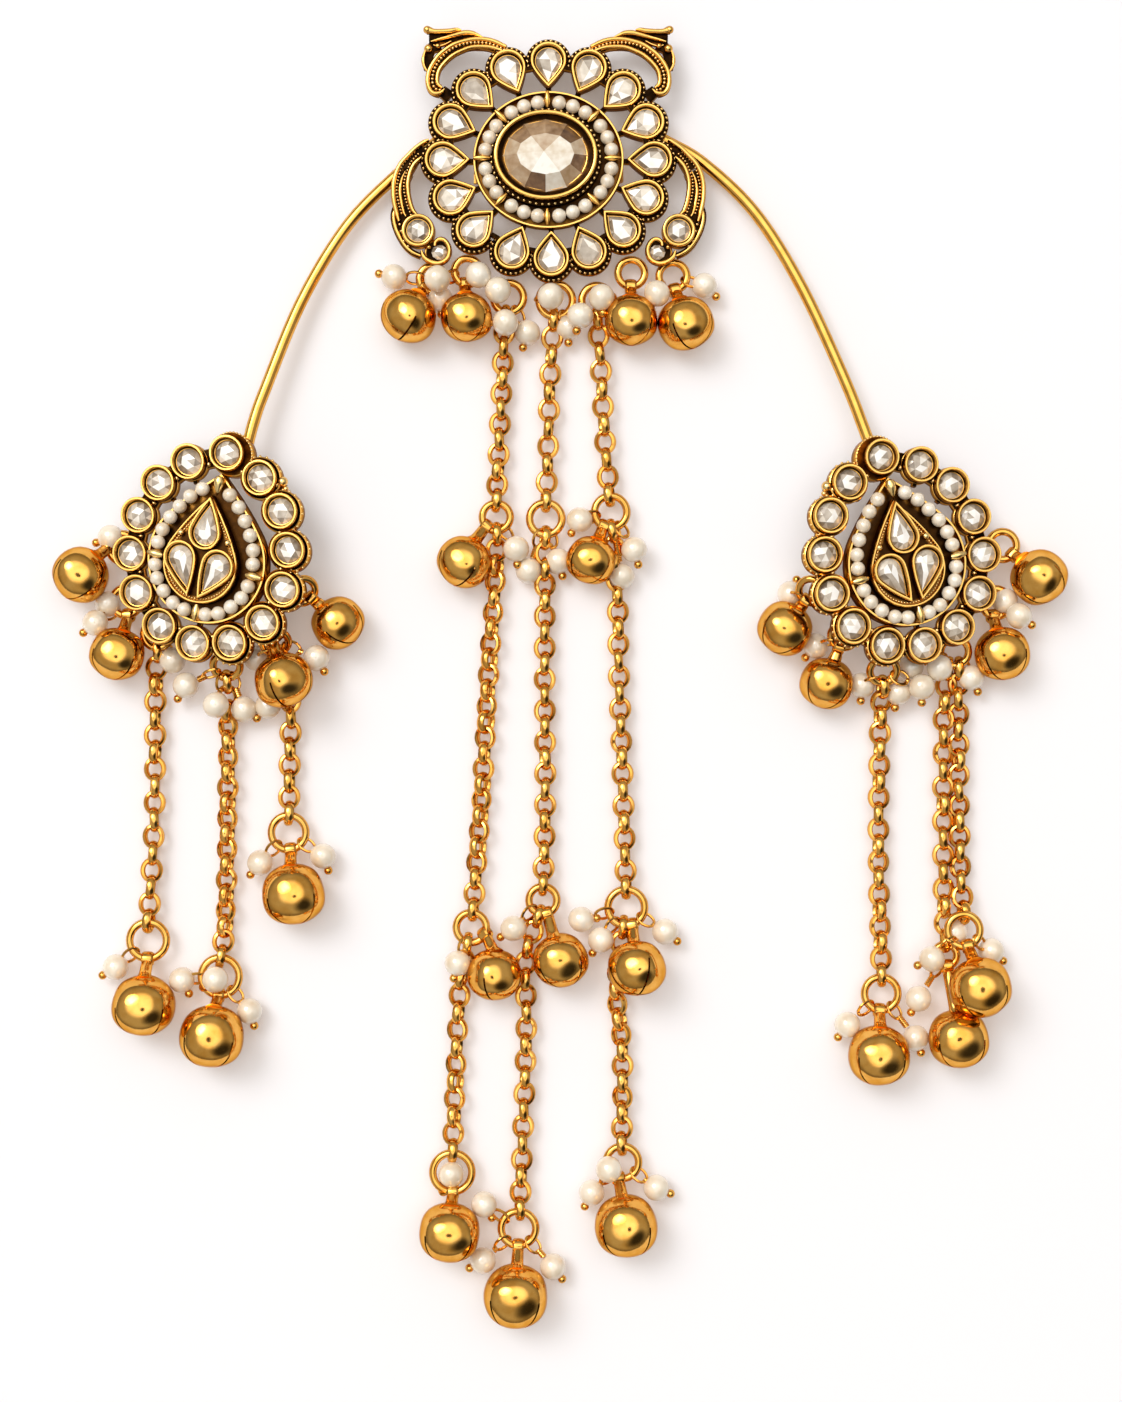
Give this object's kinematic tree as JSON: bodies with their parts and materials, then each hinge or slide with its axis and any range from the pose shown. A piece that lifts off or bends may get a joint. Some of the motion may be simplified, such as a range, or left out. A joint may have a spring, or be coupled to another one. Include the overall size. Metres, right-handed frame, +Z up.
{
  "type": "hair clip",
  "caption": "Bun hair clip: jewelled flower brooch on a spring slide, arc wires to two jewelled side drops, and chain strands with rings, pearls and round bells.",
  "frame": {"origin": "on the flat underside of the hair clip, right below the middle of the brooch", "axes": "+Z up from the surface the ornament lies on, +Y towards the top of the ornament, away from the strands, +X to the right seen from the front"},
  "size_m": [0.1802, 0.2321, 0.0137],
  "materials": {
    "antique_gold": "antique gold plate, dark in the recesses",
    "polished_gold": "polished gold plate",
    "pearl": "pearl lustre",
    "champagne_stone": "foil-backed faceted glass",
    "clear_stone": "foil-backed faceted glass"
  },
  "bodies": {
    "root": {"hair_clip": "polished_gold", "brooch_frame": "antique_gold", "centre_stone": "champagne_stone", "brooch_pearl_ring": "pearl", "drop_frame_left": "antique_gold", "drop_pearls_left": "pearl", "drop_frame_right": "antique_gold", "drop_pearls_right": "pearl", "arm_wire_left": "polished_gold", "arm_wire_right": "polished_gold", "brooch_ring_1": "polished_gold", "brooch_ring_2": "polished_gold", "brooch_ring_3": "polished_gold", "brooch_ring_4": "polished_gold", "left_ring_1": "polished_gold", "left_ring_2": "polished_gold", "left_ring_3": "polished_gold", "right_ring_1": "polished_gold", "right_ring_2": "polished_gold", "right_ring_3": "polished_gold", "right_ring_4": "polished_gold", "strand_centre_left": "polished_gold", "strand_centre_middle": "polished_gold", "strand_centre_right": "polished_gold", "strand_left_outer": "polished_gold", "strand_left_middle": "polished_gold", "strand_left_inner": "polished_gold", "strand_right_inner": "polished_gold", "strand_right_outer": "polished_gold", "bell_brooch_1": "polished_gold", "bell_brooch_2": "polished_gold", "bell_brooch_3": "polished_gold", "bell_brooch_4": "polished_gold", "bell_tier_1_left": "polished_gold", "bell_tier_1_right": "polished_gold", "bell_tier_2_left": "polished_gold", "bell_tier_2_middle": "polished_gold", "bell_tier_2_right": "polished_gold", "bell_tier_3_left": "polished_gold", "bell_tier_3_middle": "polished_gold", "bell_tier_3_right": "polished_gold", "bell_left_1": "polished_gold", "bell_left_2": "polished_gold", "bell_left_3": "polished_gold", "bell_left_4": "polished_gold", "bell_left_outer_end": "polished_gold", "bell_left_middle_end": "polished_gold", "bell_left_inner_end": "polished_gold", "bell_right_1": "polished_gold", "bell_right_2": "polished_gold", "bell_right_3": "polished_gold", "bell_right_4": "polished_gold", "bell_right_inner_end": "polished_gold", "bell_right_outer_end": "polished_gold", "bell_right_top_end": "polished_gold"}
  },
  "joints": []
}
